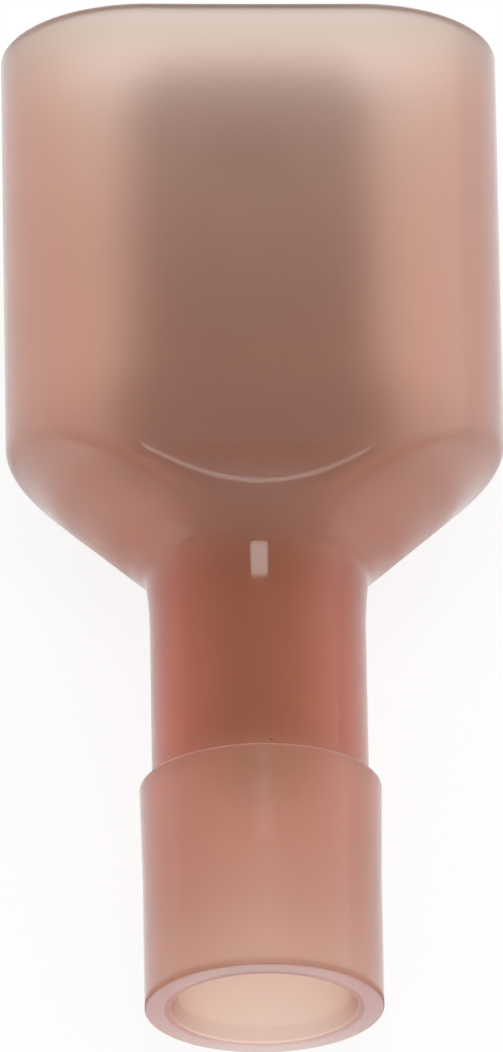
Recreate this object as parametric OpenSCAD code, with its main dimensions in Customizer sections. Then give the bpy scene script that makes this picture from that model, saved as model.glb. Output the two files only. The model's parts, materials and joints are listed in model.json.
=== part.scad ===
// Fully insulated male tab terminal for thin wire, lengths in millimetres.
// A tin-plated brass tab with a rolled crimp barrel sits in a one-piece nylon housing.
// It lies on the broad side of the housing, wire entry towards -Y and open mouth towards +Y.

/* [Tab] */
// Thickness of the brass sheet
sheet_t = 0.8; // [0.6:0.05:1]
// Width of the flat tab
tab_w = 6.35; // [5.6:0.05:7]
// Length of the flat tab, from its stops to its tip
tab_len = 8.7; // [7:0.05:10]
// Width of the stops at the foot of the tab, which the receptacle comes up against
stop_w = 7; // [6.4:0.1:8]
// Length of the stops along the tab
stop_len = 2.1; // [1.5:0.1:3]
// Length of the slope at the front of the stops
stop_rise = 0.25; // [0.1:0.05:0.5]
// Corner cut at the tip, along and across the tab
tip_corner = 0.9; // [0.4:0.1:1.4]
// Length of the bevel that thins the tab towards its tip
tip_bevel_len = 1.2; // [0.6:0.1:2]
// Thickness of the tab at its very tip
tip_t = 0.4; // [0.2:0.05:0.5]
// Diameter of the detent dimple on each face of the tab
detent_d = 1.8; // [1.2:0.1:2.2]
// Depth of the detent dimples
detent_depth = 0.2; // [0.1:0.05:0.25]
// Distance from the tip to the middle of the detent dimples
detent_from_tip = 3.4; // [2.5:0.1:4.5]

/* [Barrel] */
// Inside diameter of the rolled crimp barrel
barrel_bore = 1.7; // [1.4:0.1:2.4]
// Length of the crimp barrel
barrel_len = 5.35; // [4.5:0.05:7]
// Gap of the butt seam along the barrel
seam_gap = 0.12; // [0.05:0.01:0.3]
// Half of the arc that the trough keeps where it leaves the barrel, in degrees
trough_half_angle = 95; // [70:1:120]
// Length over which the trough opens out into the flat foot of the tab
transition_len = 3; // [2.4:0.1:4.5]
// Part of that length, next to the tab, over which the strip narrows from the stops to the trough
taper_len = 0.9; // [0.6:0.1:1.6]

/* [Mouth of the housing] */
// Room between the tab's edge and the side of the cavity, for the mating receptacle
room_beside = 2.515; // [1.8:0.005:3]
// Room between the tab's face and the broad side of the cavity
room_over = 2.8; // [2.2:0.05:3.2]
// Depth of the tab's tip behind the rim
tip_recess = 0.25; // [0.15:0.05:2]
// Wall of the flat housing
body_wall = 0.6; // [0.5:0.05:1]
// Rounding of the outer rim
rim_round = 0.13; // [0.05:0.01:0.3]

/* [Shoulder and neck] */
// Half angle of the conical shoulder, in degrees
shoulder_angle = 46.7; // [40:0.1:52]
// Rounding between the narrow sides of the housing and the shoulder
shoulder_round = 0.65; // [0.2:0.05:0.8]
// Rounding between the broad sides of the housing and the shoulder
face_round = 0.18; // [0.05:0.01:0.6]
// Hollow rounding between the shoulder and the neck
neck_round = 0.5; // [0.2:0.05:0.6]
// Wall of the neck around the barrel
neck_wall = 1.02; // [0.7:0.02:1.15]
// How much wider the neck is where it meets the shoulder
neck_flare = 0.08; // [0:0.01:0.15]
// Length over which the neck flares
neck_flare_len = 1.4; // [1:0.1:2.5]
// Gap all round between the barrel and the bore of the neck
barrel_clearance = 0.05; // [0.02:0.01:0.1]
// Length of the barrel that stands out of the neck, into the shoulder
barrel_proud = 0.35; // [0:0.05:0.6]

/* [Wire entry] */
// Bore of the wire entry
entry_bore = 4.4; // [3.6:0.1:5]
// Wall of the wire entry
entry_wall = 0.79; // [0.6:0.01:1.1]
// Length of the wire entry, from its mouth to the step at the neck
entry_len = 5.93; // [4.5:0.01:7.5]
// Height of the moulded bead along the step
entry_bead = 0.05; // [0:0.01:0.1]
// Length over which the bead fades out
entry_bead_len = 2.5; // [0.3:0.1:4]
// Rounding of the outer edges of the wire entry
entry_round = 0.15; // [0.05:0.05:0.3]
// How much wider the bore is at its mouth, to lead the wire in
mouth_lead = 0.14; // [0.05:0.01:0.25]
// Length over which the mouth narrows to the bore
mouth_lead_len = 0.4; // [0.2:0.05:0.8]
// Depth behind the step at which the end of the barrel rests on its ledge
ledge_depth = 0.65; // [0.5:0.05:1.2]
// Length of the funnel that leads the strands into the barrel
funnel_len = 0.45; // [0.3:0.05:1]
// Gap all round between the narrow end of the funnel and the bore of the barrel
funnel_clear = 0.55; // [0.2:0.05:0.65]

/* [Hidden] */
$fn = 64;

nylon_colour = [0.80, 0.60, 0.54];
tin_colour = [0.74, 0.73, 0.70];

// Steps of the computed surfaces
end_steps = 24;
flat_steps = 10;
round_steps = 6;
rim_steps = 4;
strip_cols = 16;
strip_steps = 14;
flare_steps = 5;

// Overlap of pieces of one solid, overlap of cuts that open into each other, and overshoot of cuts
lap = 0.5;
cut_lap = 0.05;
overshoot = 1;
// How far the strip stays inside the barrel's wall where the two join
strip_inset = 0.03;

// Barrel
barrel_r = barrel_bore / 2 + sheet_t;
barrel_mid_r = barrel_bore / 2 + sheet_t / 2;
neck_bore_r = barrel_r + barrel_clearance;
neck_r = neck_bore_r + neck_wall;

// Detent dimples are parts of a ball
detent_ball_r = (detent_d * detent_d / 4 + detent_depth * detent_depth) / (2 * detent_depth);
detent_ball_y = sheet_t / 2 + detent_ball_r - detent_depth;

// Cavity and housing outline: a stadium of end radius and straight half-length
cavity_end_r = sheet_t / 2 + room_over;
cavity_straight = tab_w / 2 + room_beside - cavity_end_r;
body_end_r = cavity_end_r + body_wall;

// Wire entry
entry_r = entry_bore / 2 + entry_wall;
funnel_r = barrel_bore / 2 + funnel_clear;

// Stations along the axis, from the mouth of the wire entry
ledge = entry_len + ledge_depth;
barrel_end = ledge + barrel_len;
neck_end = barrel_end - barrel_proud;
stop_start = barrel_end + transition_len;
tab_start = stop_start + stop_len;
tab_tip = tab_start + tab_len;
body_len = tab_tip + tip_recess;

// The shoulder's wall is as thick as the housing's, measured square to the cone
shoulder_slope = tan(shoulder_angle);
inner_cone_start = neck_end + (body_wall / cos(shoulder_angle) - neck_wall) / shoulder_slope;

// Hollow rounding between the shoulder and the flare of the neck: its middle, and where the flare begins
flare_angle = atan(2 * neck_flare / neck_flare_len);
hollow_mid_r = neck_r + neck_flare + neck_round * cos(flare_angle);
hollow_mid = neck_end + (hollow_mid_r - neck_round * cos(shoulder_angle) - neck_r) / shoulder_slope
    - neck_round * sin(shoulder_angle);
flare_start = hollow_mid + neck_round * sin(flare_angle);

// Point of a stadium with end radius r, by turn from 0 to 4: end, flat, end, flat
function stadium_point(turn, straight, r) =
    let (part = floor(turn), f = turn - part)
    part == 0 ? [straight + r * cos(180 * f - 90), r * sin(180 * f - 90)] :
    part == 1 ? [straight * (1 - 2 * f), r] :
    part == 2 ? [-straight + r * cos(180 * f + 90), r * sin(180 * f + 90)] :
    [straight * (2 * f - 1), -r];

// Turns of the columns of the housing's skin
skin_turns = [
    for (part = [0:3])
        let (steps = part % 2 == 0 ? end_steps : flat_steps)
        for (i = [0:steps - 1]) part + i / steps
];

// One column of the skin, from the rim down to the neck, as points [x, y, height]
function skin_column(turn) =
    let (
        wall_point = stadium_point(turn, cavity_straight, body_end_r),
        wall_r = norm(wall_point),
        across = wall_point / wall_r,
        corner = neck_end + (wall_r - neck_r) / shoulder_slope,
        sideways = max(0, abs(wall_point[0]) - cavity_straight) / body_end_r,
        out_round = face_round + (shoulder_round - face_round) * sideways * (2 - sideways),
        out_tangent = out_round * tan(shoulder_angle / 2)
    )
    concat(
        [for (i = [0:rim_steps])
            let (a = 90 * i / rim_steps, inset = rim_round * (1 - sin(a)))
            concat(
                stadium_point(turn, cavity_straight, body_end_r - inset),
                body_len - rim_round * (1 - cos(a)))],
        [for (i = [0:round_steps])
            let (a = shoulder_angle * i / round_steps)
            concat(
                across * (wall_r - out_round * (1 - cos(a))),
                corner + out_tangent - out_round * sin(a))],
        [for (i = [0:round_steps])
            let (a = shoulder_angle + (flare_angle - shoulder_angle) * i / round_steps)
            concat(across * (hollow_mid_r - neck_round * cos(a)), hollow_mid + neck_round * sin(a))],
        [for (i = [1:flare_steps])
            let (f = i / flare_steps)
            concat(across * (neck_r + neck_flare * (1 - f) * (1 - f)), flare_start - neck_flare_len * f)],
        [concat(across * neck_r, entry_len - lap)]
    );

// A closed solid through equal rings of points, stacked from the top down.
// A ring has an even number of points, counter-clockwise seen from above, and each end
// is closed by rungs between the two halves of its ring.
module ring_loft(rings) {
    n = len(rings[0]);
    last = len(rings) - 1;
    points = [for (ring = rings) each ring];
    sides = [
        for (k = [0:last - 1], i = [0:n - 1])
            let (a = k * n + i, b = k * n + (i + 1) % n)
            each [[a, b, a + n], [b, b + n, a + n]]
    ];
    rungs = [for (i = [0:n / 2 - 2]) each [[i, n - 1 - i, i + 1], [i + 1, n - 1 - i, n - 2 - i]]];
    start_cap = rungs;
    end_cap = [for (rung = rungs) [for (i = [2:-1:0]) rung[i] + last * n]];
    polyhedron(points, concat(sides, start_cap, end_cap), convexity = 6);
}

// Outer skin of the flat housing, its shoulder and the neck
module housing_skin() {
    columns = [for (turn = skin_turns) skin_column(turn)];
    ring_loft([for (k = [0:len(columns[0]) - 1]) [for (column = columns) column[k]]]);
}

// Outer form of the wire entry, with its bead along the step
module entry_form() {
    bead_r = entry_r + entry_bead;
    bead_top = entry_len - entry_round;
    rotate_extrude() {
        polygon([
            [0, 0],
            [0, entry_len],
            [bead_r - entry_round, entry_len],
            [bead_r, bead_top],
            [entry_r, bead_top - entry_bead_len],
            [entry_r, entry_round],
            [entry_r - entry_round, 0]
        ]);
        translate([bead_r - entry_round, bead_top]) circle(entry_round);
        translate([entry_r - entry_round, entry_round]) circle(entry_round);
    }
}

// Everything that is hollow: mating cavity, neck bore, funnel and wire entry
module housing_hollow() {
    cone_len = body_len + overshoot - inner_cone_start;
    intersection() {
        translate([0, 0, inner_cone_start])
            linear_extrude(cone_len) stadium(cavity_straight, cavity_end_r);
        translate([0, 0, inner_cone_start])
            cylinder(h = cone_len, r1 = neck_bore_r, r2 = neck_bore_r + cone_len * shoulder_slope);
    }
    translate([0, 0, ledge]) cylinder(h = inner_cone_start - ledge + cut_lap, r = neck_bore_r);
    translate([0, 0, ledge - funnel_len]) {
        cylinder(h = funnel_len, r1 = entry_bore / 2, r2 = funnel_r);
        translate([0, 0, funnel_len - cut_lap]) cylinder(h = 2 * cut_lap, r = funnel_r);
    }
    translate([0, 0, -overshoot]) {
        cylinder(h = ledge - funnel_len + overshoot, d = entry_bore);
        cylinder(
            h = overshoot + mouth_lead_len,
            r1 = entry_bore / 2 + mouth_lead * (1 + overshoot / mouth_lead_len),
            r2 = entry_bore / 2);
    }
}

module stadium(straight, r) {
    square([2 * straight, 2 * r], center = true);
    for (side = [-1, 1]) translate([side * straight, 0]) circle(r);
}

// One cross-section of the bent strip at a height: curve is 1 / bend radius, floor its lowest middle point
function strip_ring(height, half_w, thick, curve, floor_y) =
    let (
        side = function (sign) [
            for (i = [0:strip_cols])
                let (
                    along = half_w * (2 * i / strip_cols - 1),
                    bend = along * curve * 180 / PI,
                    mid = curve > 0 ?
                        [sin(bend) / curve, floor_y + (1 - cos(bend)) / curve] :
                        [along, floor_y]
                )
                concat(mid + sign * thick / 2 * [-sin(bend), cos(bend)], height)
        ],
        lower = side(-1),
        upper = side(1)
    )
    concat(lower, [for (i = [strip_cols:-1:0]) upper[i]]);

function ease(f) = f * f * (3 - 2 * f);

// Half width and thickness of the tab at a distance from its tip
function tab_half_w(from_tip) = tab_w / 2 - max(0, tip_corner - from_tip);
function tab_thick(from_tip) = sheet_t - (sheet_t - tip_t) * max(0, 1 - from_tip / tip_bevel_len);

// Strip that opens from the barrel's trough into the flat tab, with stops at its foot and a bevelled tip
module tab_strip() {
    trough_half_w = barrel_mid_r * trough_half_angle * PI / 180;
    join_t = sheet_t - 2 * strip_inset;
    narrow_len = transition_len - taper_len;
    bends = [min(tip_corner, tip_bevel_len), max(tip_corner, tip_bevel_len)];
    tip_stations = bends[0] == bends[1] ? [0, bends[0]] : [0, bends[0], bends[1]];
    ring_loft([
        for (from_tip = tip_stations)
            strip_ring(tab_tip - from_tip, tab_half_w(from_tip), tab_thick(from_tip), 0, 0),
        strip_ring(tab_start, tab_w / 2, sheet_t, 0, 0),
        strip_ring(tab_start - stop_rise, stop_w / 2, sheet_t, 0, 0),
        for (i = [strip_steps:-1:1])
            let (
                along = transition_len * i / strip_steps,
                f = ease(i / strip_steps),
                widened = ease(max(0, along - narrow_len) / taper_len)
            )
            strip_ring(
                barrel_end + along,
                trough_half_w + (stop_w / 2 - trough_half_w) * widened,
                join_t + (sheet_t - join_t) * f,
                (1 - f) / barrel_mid_r,
                -barrel_mid_r * (1 - f)),
        strip_ring(barrel_end - lap, trough_half_w, join_t, 1 / barrel_mid_r, -barrel_mid_r)
    ]);
}

// Rolled crimp barrel, its butt seam opposite the trough
module crimp_barrel() {
    translate([0, 0, ledge])
        linear_extrude(barrel_len)
            difference() {
                circle(barrel_r);
                circle(d = barrel_bore);
                translate([-seam_gap / 2, 0]) square([seam_gap, barrel_r + overshoot]);
            }
}

// Lays the upright model on the broad side of the housing, its middle over the origin
module lay_down() {
    translate([0, -body_len / 2, body_end_r]) rotate([-90, 0, 0]) children();
}

module insulating_housing() {
    color(nylon_colour)
        lay_down()
            difference() {
                union() {
                    housing_skin();
                    entry_form();
                }
                housing_hollow();
            }
}

module tab_terminal() {
    color(tin_colour)
        lay_down()
            difference() {
                union() {
                    crimp_barrel();
                    tab_strip();
                }
                for (face = [-1, 1])
                    translate([0, face * detent_ball_y, tab_tip - detent_from_tip])
                        sphere(detent_ball_r);
            }
}

insulating_housing();
tab_terminal();
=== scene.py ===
"""Dresses an insulated tab terminal: frosted nylon housing, tinned brass tab and a white table.

Sizes are in metres. The terminal lies along Y, its wire entry towards -Y and its open mouth towards +Y.
"""

import json
import math

import bmesh
import bpy
from bpy.props import FloatProperty, FloatVectorProperty, PointerProperty
from mathutils import Matrix, Vector


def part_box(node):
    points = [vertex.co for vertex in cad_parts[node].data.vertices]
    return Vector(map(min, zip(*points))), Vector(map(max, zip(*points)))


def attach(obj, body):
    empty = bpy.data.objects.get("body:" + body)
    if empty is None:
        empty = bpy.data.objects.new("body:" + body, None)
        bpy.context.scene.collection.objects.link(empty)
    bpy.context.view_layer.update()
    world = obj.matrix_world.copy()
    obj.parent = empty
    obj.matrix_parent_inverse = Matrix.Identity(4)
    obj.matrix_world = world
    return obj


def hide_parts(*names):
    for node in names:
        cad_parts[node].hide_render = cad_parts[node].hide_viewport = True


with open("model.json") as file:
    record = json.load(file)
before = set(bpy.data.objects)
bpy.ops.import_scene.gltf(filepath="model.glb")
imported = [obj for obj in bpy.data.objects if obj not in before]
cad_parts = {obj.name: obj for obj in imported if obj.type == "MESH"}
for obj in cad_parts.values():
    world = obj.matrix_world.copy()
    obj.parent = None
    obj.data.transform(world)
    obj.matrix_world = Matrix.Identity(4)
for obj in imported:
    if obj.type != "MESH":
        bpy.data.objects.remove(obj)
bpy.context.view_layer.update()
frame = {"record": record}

bl_info = {
    "name": "Insulated Tab Terminal",
    "version": (1, 0, 0),
    "blender": (4, 5, 0),
    "location": "View3D > Sidebar > Terminal",
    "description": "Builds a nylon-insulated male tab terminal and a white table to show it on",
    "category": "Object",
}

MM = 0.001
HOUSING_LOW, HOUSING_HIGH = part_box("insulating_housing")
TERMINAL_LOW, TERMINAL_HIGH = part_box("tab_terminal")
MOUNTS = {mount["name"]: mount for mount in frame["record"]["mounts"]}

# Places that follow from the solids: the axis, and stations along it from the mouth of the wire entry
AXIS_Z = MOUNTS["wire_entry"]["pos_m"][2]
BODY_LENGTH = HOUSING_HIGH.y - HOUSING_LOW.y
BODY_HALF_WIDTH = (HOUSING_HIGH.x - HOUSING_LOW.x) / 2
BODY_HALF_THICKNESS = (HOUSING_HIGH.z - HOUSING_LOW.z) / 2
ENTRY_BORE_RADIUS = MOUNTS["wire_entry"]["dims"]["r_mm"] * MM
BARREL_BORE_RADIUS = MOUNTS["crimp_barrel"]["dims"]["r_mm"] * MM
BARREL_LENGTH = MOUNTS["crimp_barrel"]["dims"]["length_mm"] * MM
LEDGE = TERMINAL_LOW.y - HOUSING_LOW.y
BARREL_END = LEDGE + BARREL_LENGTH
TAB_TIP = TERMINAL_HIGH.y - HOUSING_LOW.y
STOP_WIDTH = TERMINAL_HIGH.x - TERMINAL_LOW.x
BARREL_RADIUS = (TERMINAL_HIGH.z - TERMINAL_LOW.z) / 2

# Fineness of the meshes
END_COLUMNS = 72
FLAT_COLUMNS = 24
ARC_STEPS = 6
RUN_PARTS = (0.04, 0.2, 0.5, 0.8, 0.96)
TROUGH_COLUMNS = 48
WING_COLUMNS = 22
OPEN_STEPS = 32
DETENT_COLUMNS = 64
DETENT_RINGS = 48
BEVEL_STEPS = 2
SMOOTH_MOULDED = math.radians(60)
SMOOTH_STAMPED = math.radians(35)
SMOOTH_PLAIN = math.radians(30)

# Share of the flare that its arc takes, so that the arc ends short of the next rounding
FLARE_ARC = 0.95

# Zones of the nylon in millimetres from the mouth of the wire entry: where each starts and where it is full
ZONES = {
    "end face": (0.06, 0.02),
    "off the edge": (0.12, 0.22),
    "lead-in": (0.5, 0.3),
    "mouth": (4.0, 0.0),
    "behind the mouth": (0.5, 2.4),
    "behind the step": (5.6, 6.6),
    "below the shoulder": (13.0, 11.5),
    "corner starts": (11.9, 12.3),
    "corner ends": (14.1, 13.6),
    "below the body": (16.5, 14.0),
    "upper": (19.0, 24.0),
    "rim": (24.2, 25.6),
}
# Radii that bound the bore and the end face of the wire entry
BORE_REACH = 2.5 * MM
FACE_REACH = 2.97 * MM
# Share of the painted shade on the wire entry against that on the neck
ENTRY_SHADE_SHARE = 0.52
# Gloss that the shoulder's rounded corner keeps
CORNER_GLOSS = 0.45
# Strength of the painted glow on the end face at its top and from the axis down, and the height between
# them
END_GLOW_RANGE = (0.5, 1.05)
END_GLOW_HEIGHT = 3.0 * MM

# Unevenness of the two finishes
NYLON_CLOUD = 320.0
NYLON_GRAIN = 5200.0
NYLON_SHADE = 0.93
FROST_SPREAD = 0.04
TIN_CLOUD = 700.0
TIN_SHADE = (0.82, 0.82, 0.82, 1.0)
STREAK_SCALE = 9000.0
STREAK_STRETCH = (1.0, 0.06, 1.0)
SPECK_SHIFT = (0.15 * MM, 1.80 * MM, -0.30 * MM)
TIN_SPECKS = 1500.0
NYLON_DUST = (0.30, 0.18, 0.15, 1.0)
TIN_DUST = (0.25, 0.22, 0.19, 1.0)
BLACK = (0.0, 0.0, 0.0, 1.0)
WHITE = (1.0, 1.0, 1.0, 1.0)

# Places of the plating's shades, as shares of the way from the barrel's end to the tab's tip
PLATING = (
    (0.0, "bare"),
    (0.04, "heel"),
    (0.12, "heel"),
    (0.20, "foot"),
    (0.45, "shank"),
    (0.75, "tin"),
)

# The table and the gap under the housing
TABLE_REACH = 2.0
TABLE_GAP = 0.05 * MM
# Bearing along Y at which the dim front of the surround ends, and at which the rest is full
FRONT_BEARING = (-0.8, 0.2)
# The softbox: its distance, its tilt from overhead, and half of the angle that it fills each way
SOFTBOX_DISTANCE = 1.0
SOFTBOX_TILT = math.radians(14.2)
SOFTBOX_WIDE = math.radians(8.2)
SOFTBOX_DEEP = math.radians(4.2)
# The camera: its sensor in millimetres, and what it sees as shares of its distance
SENSOR_WIDTH = 36.0
CLIP_NEAR = 0.1
CLIP_FAR = 20


def length(name, description, default_mm):
    """A size property, given in millimetres and kept in metres."""
    return FloatProperty(
        name=name,
        description=description,
        default=default_mm * MM,
        min=0.0,
        precision=5,
        subtype="DISTANCE",
        unit="LENGTH",
    )


def brightness(name, description, default):
    """A property for the strength of a light."""
    return FloatProperty(name=name, description=description, default=default, min=0.0)


def share(name, description, default):
    """A property between 0 and 1."""
    return FloatProperty(
        name=name,
        description=description,
        default=default,
        min=0.0,
        max=1.0,
        subtype="FACTOR",
    )


def angle(name, description, degrees):
    """An angle property, given in degrees."""
    return FloatProperty(
        name=name,
        description=description,
        default=math.radians(degrees),
        subtype="ANGLE",
        unit="ROTATION",
    )


def colour(name, description, default):
    """A colour property, linear red, green and blue."""
    return FloatVectorProperty(
        name=name,
        description=description,
        default=default,
        size=3,
        min=0.0,
        max=1.0,
        subtype="COLOR",
    )


class HousingSettings(bpy.types.PropertyGroup):
    """Sizes of the moulded nylon housing and the look of its nylon."""

    wall: length("Wall", "Wall of the flat housing", 0.6)
    rim_round: length("Rim rounding", "Rounding of the outer edge of the rim", 0.13)
    rim_inner_round: length("Inner rim rounding", "Rounding of the inner edge of the rim", 0.08)
    shoulder_angle: angle("Shoulder angle", "Half angle of the conical shoulder", 46.7)
    shoulder_round: length("Shoulder rounding", "Rounding between the sides and the shoulder", 0.65)
    face_round: length("Face rounding", "Rounding between the broad faces and the shoulder", 1.2)
    face_inset: length("Face inset", "How far the broad faces lie inside those of the frame", 0.25)
    neck_round: length("Neck rounding", "Hollow rounding between shoulder and neck", 0.5)
    neck_wall: length("Neck wall", "Wall of the neck around the barrel", 1.02)
    neck_flare: length("Neck flare", "How much wider the neck is where it meets the shoulder", 0.08)
    flare_length: length("Flare length", "Length over which the neck flares", 1.4)
    barrel_gap: length("Barrel gap", "Gap between the barrel and the bore of the neck", 0.05)
    barrel_proud: length("Barrel proud", "Length of barrel that stands out of the neck", 0.35)
    entry_length: length("Entry length", "Length of the wire entry up to the step at the neck", 5.93)
    entry_wall: length("Entry wall", "Wall of the wire entry", 0.79)
    step_round: length("Step rounding", "Hollow rounding at the foot of the step", 0.08)
    edge_round: length("Edge rounding", "Rounding of the outer edges of the wire entry", 0.05)
    bead_height: length("Bead height", "Height of the bead along the step", 0.05)
    bead_length: length("Bead length", "Length over which the bead fades out", 2.5)
    lead: length("Lead-in", "How much wider the bore is at its mouth", 0.14)
    lead_length: length("Lead-in length", "Length over which the mouth narrows to the bore", 0.4)
    funnel_length: length("Funnel length", "Length of the funnel ahead of the barrel", 0.45)
    funnel_gap: length("Funnel gap", "Gap between the funnel's end and the barrel's bore", 0.55)
    inner_round: length("Inner rounding", "Rounding of the edges inside the housing", 0.3)
    tint: colour("Nylon tint", "Colour that the nylon lets through", (0.945, 0.57, 0.38))
    density: FloatProperty(
        name="Nylon density",
        description="Strength of the tint over a metre of nylon",
        default=1000.0,
        min=0.0,
    )
    skin: colour("Nylon skin", "Colour of the nylon's surface", (1.0, 0.955, 0.93))
    # Painted shade: a darker skin from the shoulder down, and at part strength along the wire entry
    painted_shade_skin: colour("Dense skin", "Colour of the surface from the shoulder down", (0.82, 0.735, 0.705))
    # Painted shade on the neck's skin over the barrel
    neck_shaded_skin: colour("Neck skin", "Colour of the neck's skin, over the metal barrel", (0.83, 0.77, 0.745))
    upper_skin: colour("Upper skin", "Colour of the surface towards the rim", (0.965, 0.955, 0.94))
    rim_skin: colour("Rim skin", "Colour of the surface at the rim", (0.83, 0.885, 0.862))
    # Painted shade at the wire entry's end face and lead-in, lighter than on the rest of the entry
    end_shaded_skin: colour("End skin", "Colour of the wire entry's end", (0.90, 0.83, 0.81))
    # Painted glow: a faint emission that lightens the nylon near the mouth
    mouth_painted_glow: colour("Mouth glow", "Light that the nylon scatters near the mouth", (0.0, 0.026, 0.026))
    # Painted glow: emission that lightens the wire entry's end face, more towards the bottom
    end_painted_glow: colour("End glow", "Light that leaves the wall at the mouth's end face", (0.19, 0.16, 0.16))
    clear: share("Clearness", "Share of the light that passes into the nylon", 1.0)
    frost: share("Frost", "Roughness that blurs what lies behind the nylon", 0.52)
    neck_frost: share("Neck frost", "Roughness that blurs the barrel in the neck", 0.85)


class TerminalSettings(bpy.types.PropertyGroup):
    """Sizes of the stamped tab terminal and the look of its plating."""

    sheet: length("Sheet", "Thickness of the brass sheet", 0.8)
    tab_width: length("Tab width", "Width of the flat tab", 6.35)
    tab_length: length("Tab length", "Length of the flat tab, from its stops to its tip", 8.7)
    stop_length: length("Stop length", "Length of the stops at the foot of the tab", 2.1)
    stop_rise: length("Stop rise", "Length of the slope at the front of the stops", 0.25)
    stop_taper: length("Stop taper", "Length over which the strip narrows behind the stops", 0.9)
    tip_corner: length("Tip corner", "Corner cut at the tab's tip", 0.9)
    tip_bevel: length("Tip bevel", "Length of the bevel towards the tip", 1.2)
    tip_thickness: length("Tip thickness", "Thickness at the very tip", 0.4)
    detent: length("Detent", "Diameter of the detent dimple on each face", 1.8)
    detent_depth: length("Detent depth", "Depth of the detent dimples", 0.2)
    detent_from_tip: length("Detent place", "Distance of the dimples from the tip", 3.4)
    seam: length("Seam", "Gap of the barrel's butt seam", 0.12)
    trough: angle("Trough", "Half of the arc that the trough keeps at the barrel", 95)
    edge_round: length("Edge rounding", "Rounding of the stamped edges", 0.05)
    tin: colour("Tin", "Colour of the tin plating", (0.615, 0.51, 0.455))
    shank: colour("Shank", "Colour of the thin plating above the foot of the tab", (0.55, 0.375, 0.255))
    foot: colour("Foot", "Colour of the thin plating at the foot of the tab", (0.73, 0.45, 0.305))
    heel: colour("Heel", "Colour of the strip where it rolls into the barrel", (0.87, 0.89, 0.90))
    bare: colour("Bare metal", "Colour of the copper alloy that the barrel leaves bare", (0.95, 0.88, 0.55))


class StageSettings(bpy.types.PropertyGroup):
    """Camera, light and table."""

    elevation: angle("Elevation", "Height of the camera above the horizon", 66.81)
    roll: angle("Roll", "Turn of the picture about the line of sight", 1.0)
    lean: angle("Lean", "Turn of the camera to the left about the terminal's axis", 2.5)
    lens: FloatProperty(name="Lens", description="Focal length in millimetres", default=650.0, min=1.0)
    view_height: length("View height", "Height of the picture at the terminal", 26.5)
    aim_from_rim: length("Aim", "Distance from the rim to the point at the picture's middle", 12.89)
    aim_side: FloatProperty(
        name="Aim to the side",
        description="Sideways place of the point at the picture's middle",
        default=-0.117 * MM,
        precision=5,
        unit="LENGTH",
    )
    left: brightness("Left", "Brightness of the surround low on the left", 0.75)
    right: brightness("Right", "Brightness of the surround low on the right", 1.4)
    zenith: brightness("Zenith", "Brightness of the surround overhead", 0.5)
    front: brightness("Front", "Brightness of the surround behind the camera", 0.35)
    key: brightness("Key", "Brightness of the overhead softbox", 5.0)
    floor: colour("Table", "Colour of the table", (0.86, 0.86, 0.86))
    shadow: share("Shadow", "How much of the shadow shows on the white table", 0.15)
    lift: brightness("Lift", "Brings the lit table to white in the picture", 1.75)


def rounded_corner(before, corner, after, radius, steps):
    """Points of an arc that rounds the corner between two straight runs, all in a plane."""
    to_before = (before - corner).normalized()
    to_after = (after - corner).normalized()
    half = to_before.angle(to_after) / 2
    reach = radius / math.tan(half)
    middle = corner + (to_before + to_after).normalized() * radius / math.sin(half)
    start = corner + to_before * reach - middle
    end = corner + to_after * reach - middle
    sweep = start.angle(end)
    points = []
    for step in range(steps + 1):
        part = step / steps
        weight_start = math.sin((1 - part) * sweep) / math.sin(sweep)
        weight_end = math.sin(part * sweep) / math.sin(sweep)
        points.append(middle + start * weight_start + end * weight_end)
    return points


def rounded_loop(corners, arc_steps, run_parts):
    """A closed loop through corners given as (point, radius), with the straight runs parted too."""
    count = len(corners)
    arcs = []
    for index, (point, radius) in enumerate(corners):
        before = corners[index - 1][0]
        after = corners[(index + 1) % count][0]
        arcs.append(rounded_corner(before, point, after, radius, arc_steps))
    loop = []
    for index, arc in enumerate(arcs):
        loop.extend(arc)
        next_start = arcs[(index + 1) % count][0]
        for part in run_parts:
            loop.append(arc[-1].lerp(next_start, part))
    return loop


def stadium_point(turn, straight, radius):
    """A point of a stadium outline by turn from 0 to 4: round end, flat, round end, flat."""
    part = math.floor(turn)
    passed = turn - part
    if part == 0:
        swing = math.pi * (passed - 0.5)
        return Vector((straight + radius * math.cos(swing), radius * math.sin(swing)))
    if part == 1:
        return Vector((straight * (1 - 2 * passed), radius))
    if part == 2:
        swing = math.pi * (passed + 0.5)
        return Vector((-straight + radius * math.cos(swing), radius * math.sin(swing)))
    return Vector((straight * (2 * passed - 1), -radius))


def stadium_reach(across, straight, radius):
    """Distance from the middle of a stadium to its outline along a unit direction."""
    side, rise = abs(across.x), abs(across.y)
    if radius * side <= straight * rise:
        return radius / rise
    return straight * side + math.sqrt(radius ** 2 - (straight * rise) ** 2)


def ease(part):
    """Smooth step from 0 to 1."""
    return part * part * (3 - 2 * part)


def housing_outline(settings):
    """Half length of the flats and radius of the round ends of the housing's stadium section."""
    radius = BODY_HALF_THICKNESS - settings.face_inset
    return BODY_HALF_WIDTH - radius, radius


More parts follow.
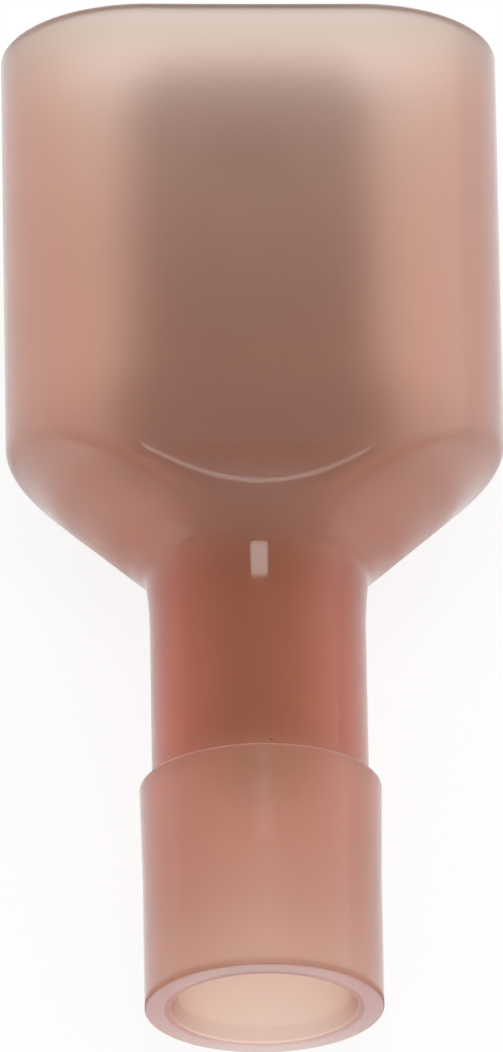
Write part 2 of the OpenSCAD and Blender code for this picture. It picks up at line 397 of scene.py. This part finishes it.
def housing_column(across, settings):
    """Closed section of the housing along one direction from the axis, as (radius, station) points."""
    slope = math.tan(settings.shoulder_angle)
    straight, half_thickness = housing_outline(settings)
    outer = stadium_reach(across, straight, half_thickness)
    inner = stadium_reach(across, straight, half_thickness - settings.wall)
    sideways = max(0.0, outer * abs(across.x) - straight) / half_thickness
    turned = sideways * (2 - sideways)
    side_change = settings.shoulder_round - settings.face_round
    shoulder_round = settings.face_round + side_change * turned
    neck_bore = BARREL_RADIUS + settings.barrel_gap
    neck = neck_bore + settings.neck_wall
    neck_end = BARREL_END - settings.barrel_proud
    cone_shift = settings.wall / math.cos(settings.shoulder_angle) - settings.neck_wall
    inner_cone = neck_end + cone_shift / slope
    entry = ENTRY_BORE_RADIUS + settings.entry_wall
    bead = entry + settings.bead_height
    funnel = BARREL_BORE_RADIUS + settings.funnel_gap
    step = settings.entry_length
    bead_foot = step - settings.bead_length
    # The flare is an arc between the neck and a line that meets the shoulder
    half_flare = settings.flare_length / 2
    flare_slope = settings.neck_flare / half_flare
    flare_angle = math.atan(flare_slope)
    hollow_rise = math.cos(flare_angle) - math.cos(settings.shoulder_angle)
    hollow_run = math.sin(settings.shoulder_angle) - math.sin(flare_angle)
    hollow_end = neck_end + (settings.neck_flare + settings.neck_round * hollow_rise) / slope
    flare_start = hollow_end - settings.neck_round * hollow_run
    shoulder_line = neck_end * slope + settings.neck_flare
    meeting = (shoulder_line - flare_start * flare_slope) / (slope - flare_slope)
    corners = [
        (outer, BODY_LENGTH, settings.rim_round),
        (outer, neck_end + (outer - neck) / slope, shoulder_round),
        (neck + (meeting - neck_end) * slope, meeting, settings.neck_round),
        (neck, flare_start - half_flare, FLARE_ARC * half_flare / math.tan(flare_angle / 2)),
        (neck, step, settings.step_round),
        (bead, step, settings.edge_round),
        (entry, bead_foot, settings.step_round),
        (entry, 0.0, settings.edge_round),
        (ENTRY_BORE_RADIUS + settings.lead, 0.0, settings.edge_round),
        (ENTRY_BORE_RADIUS, settings.lead_length, settings.inner_round),
        (ENTRY_BORE_RADIUS, LEDGE - settings.funnel_length, settings.inner_round / 2),
        (funnel, LEDGE, settings.step_round),
        (neck_bore, LEDGE, settings.step_round),
        (neck_bore, inner_cone, settings.inner_round),
        (inner, inner_cone + (inner - neck_bore) / slope, settings.inner_round),
        (inner, BODY_LENGTH, settings.rim_inner_round),
    ]
    return [(Vector((radius, station)), rounding) for radius, station, rounding in corners]


def place(x, up, station):
    """A point of the part from its place across the axis and its station along it."""
    return Vector((x, HOUSING_LOW.y + station, AXIS_Z + up))


def build_housing_mesh(settings):
    """The whole moulding as one closed grid of columns round the axis."""
    straight, half_thickness = housing_outline(settings)
    turns = []
    for part in range(4):
        steps = END_COLUMNS if part % 2 == 0 else FLAT_COLUMNS
        turns += [part + step / steps for step in range(steps)]
    mesh = bmesh.new()
    columns = []
    for turn in turns:
        across = stadium_point(turn, straight, half_thickness).normalized()
        loop = rounded_loop(housing_column(across, settings), ARC_STEPS, RUN_PARTS)
        column = [mesh.verts.new(place(across.x * p.x, across.y * p.x, p.y)) for p in loop]
        columns.append(column)
    for index, column in enumerate(columns):
        following = columns[(index + 1) % len(columns)]
        for step in range(len(column)):
            after = (step + 1) % len(column)
            mesh.faces.new((column[step], following[step], following[after], column[after]))
    bmesh.ops.recalc_face_normals(mesh, faces=mesh.faces)
    return mesh


def strip_point(along, curve, floor, offset):
    """Point (x, up) of a bent strip: its place along the width, 1 / bend radius, floor and offset."""
    bend = along * curve
    if curve > 0:
        middle = Vector((math.sin(bend) / curve, floor + (1 - math.cos(bend)) / curve))
    else:
        middle = Vector((along, floor))
    return middle + Vector((-math.sin(bend), math.cos(bend))) * offset


def strip_rows(settings, bend_radius):
    """Rows of the strip from the barrel to the tip, as (station, half width, thickness, curve, floor)."""
    trough = bend_radius * settings.trough
    tab_start = TAB_TIP - settings.tab_length
    open_length = tab_start - settings.stop_length - BARREL_END
    rows = []
    for step in range(1, OPEN_STEPS + 1):
        opened = ease(step / OPEN_STEPS)
        along = open_length * step / OPEN_STEPS
        widened = ease(max(0.0, 1 - (open_length - along) / settings.stop_taper))
        half_width = trough + (STOP_WIDTH / 2 - trough) * widened
        curve = (1 - opened) / bend_radius
        rows.append((BARREL_END + along, half_width, settings.sheet, curve, -bend_radius * (1 - opened)))
    rows.append((tab_start - settings.stop_rise, STOP_WIDTH / 2, settings.sheet, 0.0, 0.0))
    rows.append((tab_start, settings.tab_width / 2, settings.sheet, 0.0, 0.0))
    for from_tip in (settings.tip_bevel, settings.tip_corner, 0.0):
        half_width = settings.tab_width / 2 - max(0.0, settings.tip_corner - from_tip)
        thinned = (settings.sheet - settings.tip_thickness) * max(0.0, 1 - from_tip / settings.tip_bevel)
        rows.append((TAB_TIP - from_tip, half_width, settings.sheet - thinned, 0.0, 0.0))
    return rows


def build_terminal_mesh(settings):
    """The stamped sheet as one closed mesh: rolled barrel, opening trough and flat tab."""
    bend_radius = BARREL_RADIUS - settings.sheet / 2
    wing_end = math.pi - settings.seam / 2 / bend_radius
    trough_part = [settings.trough * (2 * i / TROUGH_COLUMNS - 1) for i in range(TROUGH_COLUMNS + 1)]
    wing_step = (wing_end - settings.trough) / WING_COLUMNS
    wing_part = [settings.trough + wing_step * (i + 1) for i in range(WING_COLUMNS)]
    bends = [-bend for bend in reversed(wing_part)] + trough_part + wing_part
    first, last = WING_COLUMNS, WING_COLUMNS + TROUGH_COLUMNS
    mesh = bmesh.new()

    def add(x_up, station):
        # The trough's floor faces up, so the strip's own rise counts downwards
        return mesh.verts.new(place(x_up.x, -x_up.y, station))

    rows = []
    for station in (LEDGE, BARREL_END):
        sides = []
        for offset in (-settings.sheet / 2, settings.sheet / 2):
            points = [strip_point(b * bend_radius, 1 / bend_radius, -bend_radius, offset) for b in bends]
            sides.append([add(point, station) for point in points])
        rows.append(sides)
    for station, half_width, thickness, curve, floor in strip_rows(settings, bend_radius):
        sides = []
        for offset in (-thickness / 2, thickness / 2):
            side = [None] * len(bends)
            for column in range(first, last + 1):
                along = half_width * (2 * (column - first) / TROUGH_COLUMNS - 1)
                side[column] = add(strip_point(along, curve, floor, offset), station)
            sides.append(side)
        rows.append(sides)

    def span(row):
        return (0, len(bends) - 1) if row == 0 else (first, last)

    for row in range(len(rows) - 1):
        low, high = span(row)
        for side in (0, 1):
            a, b = rows[row][side], rows[row + 1][side]
            for column in range(low, high):
                mesh.faces.new((a[column], a[column + 1], b[column + 1], b[column]))
        for column in (low, high):
            a, b = rows[row], rows[row + 1]
            mesh.faces.new((a[0][column], b[0][column], b[1][column], a[1][column]))
    for row, columns in (
        (0, range(0, len(bends) - 1)),
        (1, list(range(0, first)) + list(range(last, len(bends) - 1))),
        (len(rows) - 1, range(first, last)),
    ):
        outer, inner = rows[row]
        for column in columns:
            mesh.faces.new((outer[column], outer[column + 1], inner[column + 1], inner[column]))
    bmesh.ops.recalc_face_normals(mesh, faces=mesh.faces)
    return mesh


def object_from(mesh, name, smooth_angle):
    """A linked object from a bmesh, shaded smooth up to an angle."""
    data = bpy.data.meshes.new(name)
    mesh.to_mesh(data)
    mesh.free()
    data.shade_smooth()
    data.set_sharp_from_angle(angle=smooth_angle)
    piece = bpy.data.objects.new(name, data)
    bpy.context.scene.collection.objects.link(piece)
    return piece


def apply_modifiers(piece):
    """Replaces a stamped piece's mesh by what its modifiers make of it."""
    graph = bpy.context.evaluated_depsgraph_get()
    made = bpy.data.meshes.new_from_object(piece.evaluated_get(graph))
    piece.modifiers.clear()
    piece.data = made
    made.shade_smooth()
    made.set_sharp_from_angle(angle=SMOOTH_STAMPED)


class Nodes:
    """Places and joins the nodes of one shader tree."""

    def __init__(self, tree):
        self.tree = tree

    def add(self, kind, values=None, **attributes):
        """A new node, with sockets joined or set and attributes set."""
        node = self.tree.nodes.new(kind)
        for name, value in attributes.items():
            setattr(node, name, value)
        for name, value in (values or {}).items():
            if isinstance(value, bpy.types.NodeSocket):
                self.tree.links.new(value, node.inputs[name])
            else:
                node.inputs[name].default_value = value
        return node

    def math(self, operation, first, second):
        """The result of a sum, product or test of two values."""
        return self.add("ShaderNodeMath", {0: first, 1: second}, operation=operation).outputs[0]

    def mix(self, factor, first, second):
        """A colour between two others."""
        values = {"Factor": factor, 6: first, 7: second}
        return self.add("ShaderNodeMix", values, data_type="RGBA").outputs[2]

    def slope(self, value, start, end):
        """A soft step from 0 at the start to 1 at the end."""
        values = {"Value": value, "From Min": start, "From Max": end}
        return self.add("ShaderNodeMapRange", values, interpolation_type="SMOOTHSTEP").outputs[0]

    def group(self, tree):
        """A placed node group."""
        return self.add("ShaderNodeGroup", node_tree=tree)

    def join(self, output, socket):
        """A link from an output to a socket."""
        self.tree.links.new(output, socket)


def new_group(name, inputs, outputs):
    """An empty shader node group with named sockets."""
    tree = bpy.data.node_groups.new(name, "ShaderNodeTree")
    for socket, default in inputs.items():
        made = tree.interface.new_socket(socket, in_out="INPUT", socket_type="NodeSocketFloat")
        made.default_value = default
    for socket in outputs:
        tree.interface.new_socket(socket, in_out="OUTPUT", socket_type="NodeSocketFloat")
    nodes = Nodes(tree)
    return tree, nodes, nodes.add("NodeGroupInput"), nodes.add("NodeGroupOutput")


def mottle_group():
    """Cloudy unevenness of a surface: a broad cloud and a fine grain, each from 0 to 1."""
    name = "Surface mottle"
    if name in bpy.data.node_groups:
        return bpy.data.node_groups[name]
    inputs = {"Cloud scale": NYLON_CLOUD, "Grain scale": NYLON_GRAIN}
    tree, nodes, given, out = new_group(name, inputs, ("Cloud", "Grain"))
    spot = nodes.add("ShaderNodeTexCoord").outputs["Object"]
    cloud = nodes.add("ShaderNodeTexNoise", {"Vector": spot, "Scale": given.outputs[0], "Detail": 3.0})
    grain = nodes.add("ShaderNodeTexNoise", {"Vector": spot, "Scale": given.outputs[1], "Detail": 2.0})
    nodes.join(cloud.outputs["Fac"], out.inputs["Cloud"])
    nodes.join(grain.outputs["Fac"], out.inputs["Grain"])
    return tree


def speck_group():
    """Sparse specks of dust: 1 on a speck, 0 elsewhere."""
    name = "Dust specks"
    if name in bpy.data.node_groups:
        return bpy.data.node_groups[name]
    tree, nodes, given, out = new_group(name, {"Scale": 900.0, "Size": 0.06, "Share": 0.05}, ("Speck",))
    spot = nodes.add("ShaderNodeTexCoord").outputs["Object"]
    shifted = nodes.add("ShaderNodeVectorMath", {0: spot, 1: SPECK_SHIFT}, operation="SUBTRACT").outputs[0]
    cells = nodes.add("ShaderNodeTexVoronoi", {"Vector": shifted, "Scale": given.outputs[0]})
    near = nodes.math("LESS_THAN", cells.outputs["Distance"], given.outputs[1])
    pick = nodes.add("ShaderNodeSeparateColor", {0: cells.outputs["Color"]}).outputs[0]
    chosen = nodes.math("LESS_THAN", pick, given.outputs[2])
    nodes.join(nodes.math("MULTIPLY", near, chosen), out.inputs["Speck"])
    return tree


def moulding_group():
    """Zones of the housing as masks: gloss, neck, painted shade, upper part, rim, painted glow near the
    mouth, lead-in, painted glow on the end face.
    """
    name = "Moulding zones"
    if name in bpy.data.node_groups:
        return bpy.data.node_groups[name]
    inputs = {"Bore": BORE_REACH, "Entry share": ENTRY_SHADE_SHARE, "Face": FACE_REACH}
    outputs = ("Skin", "Neck", "Painted shade", "Upper", "Rim", "Mouth", "Lead", "End")
    tree, nodes, given, out = new_group(name, inputs, outputs)
    spot = nodes.add("ShaderNodeTexCoord").outputs["Object"]
    middle = place(0.0, 0.0, 0.0)
    offset = nodes.add("ShaderNodeVectorMath", {0: spot, 1: middle}, operation="SUBTRACT").outputs[0]
    places = nodes.add("ShaderNodeSeparateXYZ", {0: offset}).outputs
    across = {0: offset, 1: (1.0, 0.0, 1.0)}
    flat = nodes.add("ShaderNodeVectorMath", across, operation="MULTIPLY").outputs[0]
    reach = nodes.add("ShaderNodeVectorMath", {0: flat}, operation="LENGTH").outputs["Value"]

    def zone(key):
        first, full = ZONES[key]
        return nodes.slope(places["Y"], first * MM, full * MM)

    def both(first, second):
        return nodes.math("MULTIPLY", first, second)

    face = nodes.math("LESS_THAN", reach, given.outputs["Face"])
    outside = nodes.math("GREATER_THAN", reach, given.outputs["Bore"])
    plain = nodes.math("MAXIMUM", face, zone("off the edge"))
    corner = both(zone("corner starts"), zone("corner ends"))
    shine = nodes.add("ShaderNodeMapRange", {"Value": corner, "To Min": 1.0, "To Max": CORNER_GLOSS})
    # Where the painted shade lies: fully on the neck and shoulder, at the entry's share along the wire
    # entry
    behind_step = zone("behind the step")
    entry = both(zone("behind the mouth"), given.outputs["Entry share"])
    lower = nodes.math("MAXIMUM", behind_step, entry)
    # Strength of the painted glow on the end face, rising from its top towards the axis and below
    low = nodes.slope(places["Z"], END_GLOW_HEIGHT, 0.0)
    dimmest, brightest = END_GLOW_RANGE
    glow = nodes.add("ShaderNodeMapRange", {"Value": low, "To Min": dimmest, "To Max": brightest})
    masks = {
        "Skin": both(both(outside, plain), shine.outputs[0]),
        "Neck": both(behind_step, zone("below the shoulder")),
        # painted shade from the shoulder down and along the wire entry
        "Painted shade": both(lower, zone("below the body")),
        "Upper": zone("upper"),
        "Rim": zone("rim"),
        "Mouth": zone("mouth"),
        "Lead": both(face, zone("lead-in")),
        "End": both(both(face, zone("end face")), glow.outputs[0]),
    }
    for output, mask in masks.items():
        nodes.join(mask, out.inputs[output])
    return tree


def new_material(name):
    """An empty node material with its output."""
    material = bpy.data.materials.new(name)
    material.use_nodes = True
    material.node_tree.nodes.clear()
    nodes = Nodes(material.node_tree)
    return material, nodes, nodes.add("ShaderNodeOutputMaterial")


def opaque(rgb):
    """A colour with full alpha."""
    return (*rgb, 1.0)


def nylon_material(settings):
    """Frosted, tinted nylon: glossy skin, blurred inside, and a tint that deepens with thickness; painted
    shade on the skin from the shoulder down and along the wire entry, and a painted glow at the wire
    entry's mouth and end face.
    """
    material, nodes, out = new_material("Frosted nylon")
    mottle = nodes.group(mottle_group())
    mottle.inputs["Cloud scale"].default_value = NYLON_CLOUD
    mottle.inputs["Grain scale"].default_value = NYLON_GRAIN
    specks = nodes.group(speck_group())
    pale = opaque(settings.skin)
    deep = opaque([channel * NYLON_SHADE for channel in settings.skin])
    cloudy = nodes.mix(mottle.outputs["Cloud"], pale, deep)
    zones = nodes.group(moulding_group()).outputs
    # Painted shade: the skin is darkened from the shoulder down and along the wire entry
    painted_shade_skin = nodes.mix(zones["Painted shade"], cloudy, opaque(settings.painted_shade_skin))
    # Painted shade on the neck over the barrel
    necked = nodes.mix(zones["Neck"], painted_shade_skin, opaque(settings.neck_shaded_skin))
    paler = nodes.mix(zones["Upper"], necked, opaque(settings.upper_skin))
    thinned = nodes.mix(zones["Rim"], paler, opaque(settings.rim_skin))
    # Painted shade at the end face and lead-in, lighter than on the rest of the wire entry
    ended = nodes.mix(zones["Lead"], thinned, opaque(settings.end_shaded_skin))
    speckled = nodes.mix(specks.outputs["Speck"], ended, NYLON_DUST)
    # Painted glow near the mouth, fading out over the first 4 mm
    glow = nodes.mix(zones["Mouth"], BLACK, opaque(settings.mouth_painted_glow))
    # Painted glow on the end face of the wire entry
    lit = nodes.mix(zones["End"], glow, opaque(settings.end_painted_glow))
    frost = nodes.add(
        "ShaderNodeMapRange",
        {
            "Value": mottle.outputs["Grain"],
            "To Min": settings.frost - FROST_SPREAD,
            "To Max": settings.frost + FROST_SPREAD,
        },
    )
    cloudiness = nodes.add(
        "ShaderNodeMix",
        {"Factor": zones["Neck"], "A": frost.outputs[0], "B": settings.neck_frost},
    )
    shader = nodes.add(
        "ShaderNodeBsdfPrincipled",
        {
            "Base Color": speckled,
            "Roughness": cloudiness.outputs[0],
            "IOR": 1.53,
            "Transmission Weight": settings.clear,
            "Emission Color": lit,
            "Emission Strength": 1.0,
            "Coat Weight": zones["Skin"],
            "Coat Roughness": 0.09,
            "Coat IOR": 1.5,
            "Sheen Weight": 0.4,
            "Sheen Roughness": 0.35,
            "Sheen Tint": (1.0, 0.88, 0.85, 1.0),
        },
    )
    inside = nodes.add(
        "ShaderNodeVolumeAbsorption",
        {"Color": opaque(settings.tint), "Density": settings.density},
    )
    nodes.join(shader.outputs[0], out.inputs["Surface"])
    nodes.join(inside.outputs[0], out.inputs["Volume"])
    return material


def tin_material(settings):
    """Dull tin plating with rolling streaks, thin at the foot of the tab and bare on the barrel."""
    material, nodes, out = new_material("Tinned brass")
    mottle = nodes.group(mottle_group())
    mottle.inputs["Cloud scale"].default_value = TIN_CLOUD
    specks = nodes.group(speck_group())
    specks.inputs["Scale"].default_value = TIN_SPECKS
    spot = nodes.add("ShaderNodeTexCoord").outputs["Object"]
    along = nodes.add("ShaderNodeSeparateXYZ", {0: spot}).outputs["Y"]
    strip_end = place(0.0, 0.0, TAB_TIP).y
    barrel_end = place(0.0, 0.0, BARREL_END).y
    strip = nodes.add(
        "ShaderNodeMapRange",
        {"Value": along, "From Min": barrel_end, "From Max": strip_end},
    )
    plating = nodes.add("ShaderNodeValToRGB", {"Fac": strip.outputs[0]})
    bands = plating.color_ramp.elements
    for way, _ in PLATING[len(bands):]:
        bands.new(way)
    for band, (way, shade) in zip(bands, PLATING):
        band.position = way
        band.color = opaque(getattr(settings, shade))
    stretched = nodes.add("ShaderNodeMapping", {"Vector": spot, "Scale": STREAK_STRETCH})
    streaks = nodes.add(
        "ShaderNodeTexNoise", {"Vector": stretched.outputs[0], "Scale": STREAK_SCALE, "Detail": 3.0}
    )
    base = plating.outputs["Color"]
    dull = nodes.add(
        "ShaderNodeMix",
        {"Factor": 1.0, 6: base, 7: TIN_SHADE},
        data_type="RGBA",
        blend_type="MULTIPLY",
    )
    plated = nodes.mix(mottle.outputs["Cloud"], base, dull.outputs[2])
    dusty = nodes.mix(specks.outputs["Speck"], plated, TIN_DUST)
    worn = nodes.add(
        "ShaderNodeMapRange",
        {"Value": streaks.outputs["Fac"], "From Min": 0.3, "From Max": 0.7, "To Min": 0.55, "To Max": 0.7},
    )
    bump = nodes.add(
        "ShaderNodeBump",
        {"Height": streaks.outputs["Fac"], "Strength": 0.12, "Distance": 0.01 * MM},
    )
    shader = nodes.add(
        "ShaderNodeBsdfPrincipled",
        {
            "Base Color": dusty,
            "Roughness": worn.outputs[0],
            "Metallic": 1.0,
            "Normal": bump.outputs[0],
        },
    )
    nodes.join(shader.outputs[0], out.inputs["Surface"])
    return material


class TERMINAL_OT_housing(bpy.types.Operator):
    """Build the nylon housing"""

    bl_idname = "terminal.housing"
    bl_label = "Nylon housing"

    def execute(self, context):
        settings = context.scene.terminal_housing
        mesh = build_housing_mesh(settings)
        piece = object_from(mesh, "nylon_housing", SMOOTH_MOULDED)
        piece.data.materials.append(nylon_material(settings))
        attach(piece, "root")
        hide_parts("insulating_housing")
        return {"FINISHED"}


class TERMINAL_OT_tab(bpy.types.Operator):
    """Build the stamped tab terminal"""

    bl_idname = "terminal.tab"
    bl_label = "Tab terminal"

    def execute(self, context):
        settings = context.scene.terminal_tab
        mesh = build_terminal_mesh(settings)
        piece = object_from(mesh, "stamped_tab", SMOOTH_STAMPED)
        self.punch(piece, settings)
        bevel = piece.modifiers.new("Stamped edges", "BEVEL")
        bevel.width = settings.edge_round
        bevel.segments = BEVEL_STEPS
        bevel.limit_method = "ANGLE"
        bevel.angle_limit = SMOOTH_STAMPED
        apply_modifiers(piece)
        piece.data.materials.append(tin_material(settings))
        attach(piece, "root")
        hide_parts("tab_terminal")
        return {"FINISHED"}

    def punch(self, piece, settings):
        """Presses the detent dimples, parts of a ball, into both faces of the tab."""
        depth = settings.detent_depth
        ball = ((settings.detent / 2) ** 2 + depth ** 2) / (2 * depth)
        reach = settings.sheet / 2 + ball - depth
        cutter = bmesh.new()
        for face in (-1, 1):
            middle = place(0.0, face * reach, TAB_TIP - settings.detent_from_tip)
            bmesh.ops.create_uvsphere(
                cutter,
                u_segments=DETENT_COLUMNS,
                v_segments=DETENT_RINGS,
                radius=ball,
                matrix=Matrix.Translation(middle),
            )
        tool = object_from(cutter, "detent_cutter", SMOOTH_PLAIN)
        cut = piece.modifiers.new("Detent", "BOOLEAN")
        cut.operation = "DIFFERENCE"
        cut.object = tool
        apply_modifiers(piece)
        bpy.data.objects.remove(tool)


class TERMINAL_OT_stage(bpy.types.Operator):
    """Set the table, the light and the camera"""

    bl_idname = "terminal.stage"
    bl_label = "Stage"

    def execute(self, context):
        settings = context.scene.terminal_stage
        self.table(context, settings)
        self.surround(context, settings)
        self.softbox(context, settings)
        self.camera(context, settings)
        context.scene.view_settings.view_transform = "Standard"
        return {"FINISHED"}

    def table(self, context, settings):
        """A white table that keeps part of the shadow."""
        mesh = bmesh.new()
        bmesh.ops.create_grid(mesh, x_segments=1, y_segments=1, size=TABLE_REACH)
        table = object_from(mesh, "table", SMOOTH_PLAIN)
        inset = context.scene.terminal_housing.face_inset
        table.location.z = HOUSING_LOW.z + inset - TABLE_GAP
        material, nodes, out = new_material("White table")
        lit = nodes.add("ShaderNodeBsdfDiffuse", {"Color": opaque(settings.floor)})
        grey = settings.shadow * settings.lift
        dim = nodes.add("ShaderNodeBsdfDiffuse", {"Color": opaque([grey] * 3)})
        white = nodes.add("ShaderNodeEmission", {"Color": WHITE, "Strength": 1 - settings.shadow})
        shown = nodes.add("ShaderNodeAddShader", {0: dim.outputs[0], 1: white.outputs[0]})
        shader = nodes.add(
            "ShaderNodeMixShader", {0: self.seen(nodes), 1: lit.outputs[0], 2: shown.outputs[0]}
        )
        nodes.join(shader.outputs[0], out.inputs["Surface"])
        table.data.materials.append(material)

    def seen(self, nodes):
        """1 for rays of the camera, of mirrors and of glass, 0 for light that falls on a surface."""
        path = nodes.add("ShaderNodeLightPath").outputs
        mirrored = nodes.math("MAXIMUM", path["Is Glossy Ray"], path["Is Transmission Ray"])
        return nodes.math("MAXIMUM", path["Is Camera Ray"], mirrored)

    def surround(self, context, settings):
        """A white surround, plain white where the camera looks past the table."""
        world = bpy.data.worlds.new("White surround")
        world.use_nodes = True
        world.node_tree.nodes.clear()
        nodes = Nodes(world.node_tree)
        way = nodes.add("ShaderNodeTexCoord").outputs["Generated"]
        bearing = nodes.add("ShaderNodeSeparateXYZ", {0: way}).outputs
        horizon = nodes.add(
            "ShaderNodeMapRange",
            {"Value": bearing["X"], "From Min": -1.0, "To Min": settings.left, "To Max": settings.right},
        )
        sky = nodes.add(
            "ShaderNodeMapRange",
            {"Value": bearing["Z"], "To Min": horizon.outputs[0], "To Max": settings.zenith},
            interpolation_type="SMOOTHSTEP",
        )
        ahead = nodes.add(
            "ShaderNodeMapRange",
            {"Value": bearing["Y"], "From Min": FRONT_BEARING[0], "From Max": FRONT_BEARING[1]},
            interpolation_type="SMOOTHSTEP",
        )
        dome = nodes.add(
            "ShaderNodeMix", {"Factor": ahead.outputs[0], "A": settings.front, "B": sky.outputs[0]}
        )
        path = nodes.add("ShaderNodeLightPath").outputs
        strength = nodes.add(
            "ShaderNodeMix", {"Factor": path["Is Camera Ray"], "A": dome.outputs[0], "B": 1.0}
        )
        light = nodes.add(
            "ShaderNodeBackground", {"Color": WHITE, "Strength": strength.outputs[0]}
        )
        out = nodes.add("ShaderNodeOutputWorld")
        nodes.join(light.outputs[0], out.inputs["Surface"])
        context.scene.world = world

    def softbox(self, context, settings):
        """A softbox over the terminal, a little behind it as the camera sees it."""
        lamp = bpy.data.lights.new("overhead_softbox", "AREA")
        lamp.shape = "RECTANGLE"
        lamp.size = 2 * SOFTBOX_DISTANCE * math.tan(SOFTBOX_WIDE)
        lamp.size_y = 2 * SOFTBOX_DISTANCE * math.tan(SOFTBOX_DEEP)
        lamp.energy = settings.key * lamp.size * lamp.size_y * math.pi
        box = bpy.data.objects.new("overhead_softbox", lamp)
        toward = Vector((0.0, math.sin(SOFTBOX_TILT), math.cos(SOFTBOX_TILT)))
        box.location = Vector((0.0, 0.0, AXIS_Z)) + toward * SOFTBOX_DISTANCE
        box.rotation_euler = toward.to_track_quat("Z", "Y").to_euler()
        context.scene.collection.objects.link(box)

    def camera(self, context, settings):
        """The picture's camera: far off, looking down on the wire entry's side."""
        lens = bpy.data.cameras.new("picture")
        lens.lens = settings.lens
        lens.sensor_width = SENSOR_WIDTH
        distance = settings.lens * settings.view_height / SENSOR_WIDTH
        lens.clip_start = distance * CLIP_NEAR
        lens.clip_end = distance * CLIP_FAR
        eye = bpy.data.objects.new("picture", lens)
        aim = place(settings.aim_side, 0.0, BODY_LENGTH - settings.aim_from_rim)
        back = Vector((0.0, -math.cos(settings.elevation), math.sin(settings.elevation)))
        turn = back.to_track_quat("Z", "Y").to_matrix().to_4x4()
        roll = Matrix.Rotation(-settings.roll, 4, "Z")
        lean = Matrix.Rotation(-settings.lean, 4, "Y")
        stand = lean @ Matrix.Translation(back * distance)
        eye.matrix_world = Matrix.Translation(aim) @ stand @ turn @ roll
        context.scene.collection.objects.link(eye)
        context.scene.camera = eye


class TERMINAL_PT_sidebar(bpy.types.Panel):
    """Buttons and sizes of the terminal"""

    bl_idname = "TERMINAL_PT_sidebar"
    bl_label = "Tab terminal"
    bl_space_type = "VIEW_3D"
    bl_region_type = "UI"
    bl_category = "Terminal"

    def draw(self, context):
        scene = context.scene
        for operator, settings in (
            ("terminal.housing", scene.terminal_housing),
            ("terminal.tab", scene.terminal_tab),
            ("terminal.stage", scene.terminal_stage),
        ):
            box = self.layout.box()
            box.operator(operator)
            for name in settings.__annotations__:
                box.prop(settings, name)


CLASSES = (
    HousingSettings,
    TerminalSettings,
    StageSettings,
    TERMINAL_OT_housing,
    TERMINAL_OT_tab,
    TERMINAL_OT_stage,
    TERMINAL_PT_sidebar,
)
SETTINGS = {
    "terminal_housing": HousingSettings,
    "terminal_tab": TerminalSettings,
    "terminal_stage": StageSettings,
}


def register():
    """Adds the classes and the settings to Blender."""
    for cls in CLASSES:
        bpy.utils.register_class(cls)
    for name, cls in SETTINGS.items():
        setattr(bpy.types.Scene, name, PointerProperty(type=cls))


def unregister():
    """Takes the settings and the classes out again."""
    for name in SETTINGS:
        delattr(bpy.types.Scene, name)
    for cls in reversed(CLASSES):
        bpy.utils.unregister_class(cls)


def main():
    """Registers the classes and builds both pieces and the stage."""
    register()
    bpy.ops.terminal.housing()
    bpy.ops.terminal.tab()
    bpy.ops.terminal.stage()


if __name__ == "__main__":
    main()
